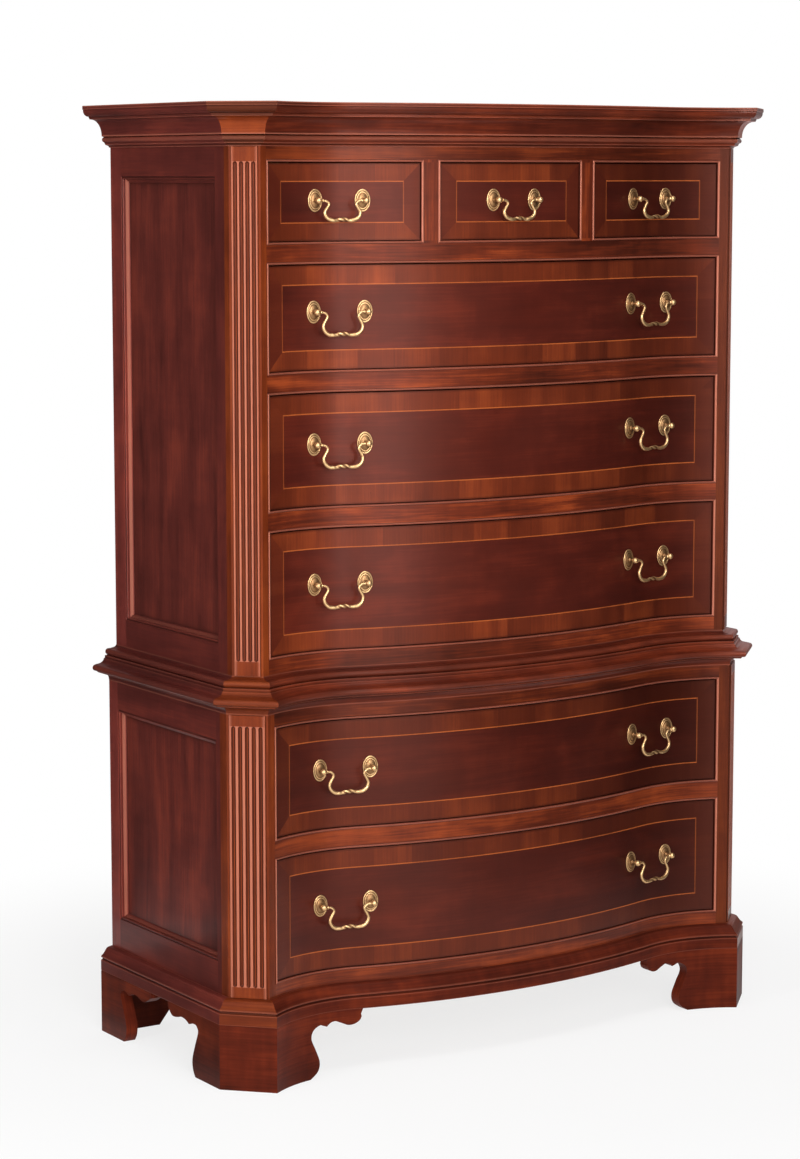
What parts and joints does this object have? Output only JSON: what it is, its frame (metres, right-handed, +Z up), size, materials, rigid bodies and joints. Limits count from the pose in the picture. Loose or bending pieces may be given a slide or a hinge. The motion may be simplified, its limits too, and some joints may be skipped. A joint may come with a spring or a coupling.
{
  "type": "chest-on-chest",
  "caption": "Serpentine-front mahogany chest-on-chest with eight cock-beaded drawers, fluted canted corners, ogee bracket feet and swan-neck brass bail pulls.",
  "frame": {"origin": "on the floor under the middle of the bounding box", "axes": "+Z up, -Y out of the drawer fronts, +X along the width, to the viewer's right as they face the drawers"},
  "size_m": [1.036, 0.4738, 1.473],
  "materials": {
    "mahogany": "semi-gloss lacquer",
    "mahogany_band": "semi-gloss lacquer",
    "dark_mahogany": "semi-gloss lacquer",
    "secondary_wood": "bare planed wood",
    "brass": "aged satin"
  },
  "bodies": {
    "carcass": {"crown_moulding": "mahogany", "top_panel": "dark_mahogany", "upper_posts": "mahogany_band", "upper_side_frames": "mahogany", "upper_front_rails": "mahogany", "upper_dividers": "mahogany", "upper_cock_beads": "dark_mahogany", "upper_dust_boards": "secondary_wood", "upper_bottom_board": "secondary_wood", "waist_moulding": "mahogany", "lower_posts": "mahogany_band", "lower_side_frames": "mahogany", "lower_front_rails": "mahogany", "lower_cock_beads": "dark_mahogany", "lower_dust_board": "secondary_wood", "lower_case_boards": "secondary_wood", "side_panels": "dark_mahogany", "back_boards": "secondary_wood", "base_moulding": "mahogany", "foot_front_left": "mahogany", "foot_front_right": "mahogany", "foot_rear_left": "mahogany", "foot_rear_right": "mahogany"},
    "drawer_1": {"drawer_1_front": "mahogany_band", "drawer_1_box": "secondary_wood", "drawer_1_pull_mounts": "brass"},
    "drawer_2": {"drawer_2_front": "mahogany_band", "drawer_2_box": "secondary_wood", "drawer_2_pull_mounts": "brass"},
    "drawer_3": {"drawer_3_front": "mahogany_band", "drawer_3_box": "secondary_wood", "drawer_3_pull_mounts": "brass"},
    "drawer_4": {"drawer_4_front": "mahogany_band", "drawer_4_box": "secondary_wood", "drawer_4_pull_mounts": "brass"},
    "drawer_5": {"drawer_5_front": "mahogany_band", "drawer_5_box": "secondary_wood", "drawer_5_pull_mounts": "brass"},
    "drawer_6": {"drawer_6_front": "mahogany_band", "drawer_6_box": "secondary_wood", "drawer_6_pull_mounts": "brass"},
    "drawer_7": {"drawer_7_front": "mahogany_band", "drawer_7_box": "secondary_wood", "drawer_7_pull_mounts": "brass"},
    "drawer_8": {"drawer_8_front": "mahogany_band", "drawer_8_box": "secondary_wood", "drawer_8_pull_mounts": "brass"},
    "bail_1": {"bail_1": "brass"},
    "bail_2": {"bail_2": "brass"},
    "bail_3": {"bail_3": "brass"},
    "bail_4_left": {"bail_4_left": "brass"},
    "bail_4_right": {"bail_4_right": "brass"},
    "bail_5_left": {"bail_5_left": "brass"},
    "bail_5_right": {"bail_5_right": "brass"},
    "bail_6_left": {"bail_6_left": "brass"},
    "bail_6_right": {"bail_6_right": "brass"},
    "bail_7_left": {"bail_7_left": "brass"},
    "bail_7_right": {"bail_7_right": "brass"},
    "bail_8_left": {"bail_8_left": "brass"},
    "bail_8_right": {"bail_8_right": "brass"}
  },
  "joints": [
    {"name": "drawer_1_slide", "type": "slide", "parent": "carcass", "child": "drawer_1", "axis": [0, -1, 0], "range_m": [0, 0.27]},
    {"name": "drawer_2_slide", "type": "slide", "parent": "carcass", "child": "drawer_2", "axis": [0, -1, 0], "range_m": [0, 0.27]},
    {"name": "drawer_3_slide", "type": "slide", "parent": "carcass", "child": "drawer_3", "axis": [0, -1, 0], "range_m": [0, 0.27]},
    {"name": "drawer_4_slide", "type": "slide", "parent": "carcass", "child": "drawer_4", "axis": [0, -1, 0], "range_m": [0, 0.27]},
    {"name": "drawer_5_slide", "type": "slide", "parent": "carcass", "child": "drawer_5", "axis": [0, -1, 0], "range_m": [0, 0.27]},
    {"name": "drawer_6_slide", "type": "slide", "parent": "carcass", "child": "drawer_6", "axis": [0, -1, 0], "range_m": [0, 0.27]},
    {"name": "drawer_7_slide", "type": "slide", "parent": "carcass", "child": "drawer_7", "axis": [0, -1, 0], "range_m": [0, 0.27]},
    {"name": "drawer_8_slide", "type": "slide", "parent": "carcass", "child": "drawer_8", "axis": [0, -1, 0], "range_m": [0, 0.27]},
    {"name": "bail_1_hinge", "type": "hinge", "parent": "drawer_1", "child": "bail_1", "pos_m": [-0.29306, -0.1634, 1.3295], "axis": [-0.9845, 0.1753, 0], "range_deg": [-12, 95]},
    {"name": "bail_2_hinge", "type": "hinge", "parent": "drawer_2", "child": "bail_2", "pos_m": [0, -0.2032, 1.3295], "axis": [-1, 0, 0], "range_deg": [-12, 95]},
    {"name": "bail_3_hinge", "type": "hinge", "parent": "drawer_3", "child": "bail_3", "pos_m": [0.29306, -0.1634, 1.3295], "axis": [-0.9845, -0.1753, 0], "range_deg": [-12, 95]},
    {"name": "bail_4_left_hinge", "type": "hinge", "parent": "drawer_4", "child": "bail_4_left", "pos_m": [-0.29301, -0.16383, 1.1645], "axis": [-0.985, 0.1725, 0], "range_deg": [-12, 95]},
    {"name": "bail_4_right_hinge", "type": "hinge", "parent": "drawer_4", "child": "bail_4_right", "pos_m": [0.29301, -0.16383, 1.1645], "axis": [-0.985, -0.1725, 0], "range_deg": [-12, 95]},
    {"name": "bail_5_left_hinge", "type": "hinge", "parent": "drawer_5", "child": "bail_5_left", "pos_m": [-0.29301, -0.16383, 0.9665], "axis": [-0.985, 0.1725, 0], "range_deg": [-12, 95]},
    {"name": "bail_5_right_hinge", "type": "hinge", "parent": "drawer_5", "child": "bail_5_right", "pos_m": [0.29301, -0.16383, 0.9665], "axis": [-0.985, -0.1725, 0], "range_deg": [-12, 95]},
    {"name": "bail_6_left_hinge", "type": "hinge", "parent": "drawer_6", "child": "bail_6_left", "pos_m": [-0.29301, -0.16383, 0.7545], "axis": [-0.985, 0.1725, 0], "range_deg": [-12, 95]},
    {"name": "bail_6_right_hinge", "type": "hinge", "parent": "drawer_6", "child": "bail_6_right", "pos_m": [0.29301, -0.16383, 0.7545], "axis": [-0.985, -0.1725, 0], "range_deg": [-12, 95]},
    {"name": "bail_7_left_hinge", "type": "hinge", "parent": "drawer_7", "child": "bail_7_left", "pos_m": [-0.2931, -0.17779, 0.4723], "axis": [-0.984, 0.1781, 0], "range_deg": [-12, 95]},
    {"name": "bail_7_right_hinge", "type": "hinge", "parent": "drawer_7", "child": "bail_7_right", "pos_m": [0.2931, -0.17779, 0.4723], "axis": [-0.984, -0.1781, 0], "range_deg": [-12, 95]},
    {"name": "bail_8_left_hinge", "type": "hinge", "parent": "drawer_8", "child": "bail_8_left", "pos_m": [-0.2931, -0.17779, 0.2623], "axis": [-0.984, 0.1781, 0], "range_deg": [-12, 95]},
    {"name": "bail_8_right_hinge", "type": "hinge", "parent": "drawer_8", "child": "bail_8_right", "pos_m": [0.2931, -0.17779, 0.2623], "axis": [-0.984, -0.1781, 0], "range_deg": [-12, 95]}
  ]
}
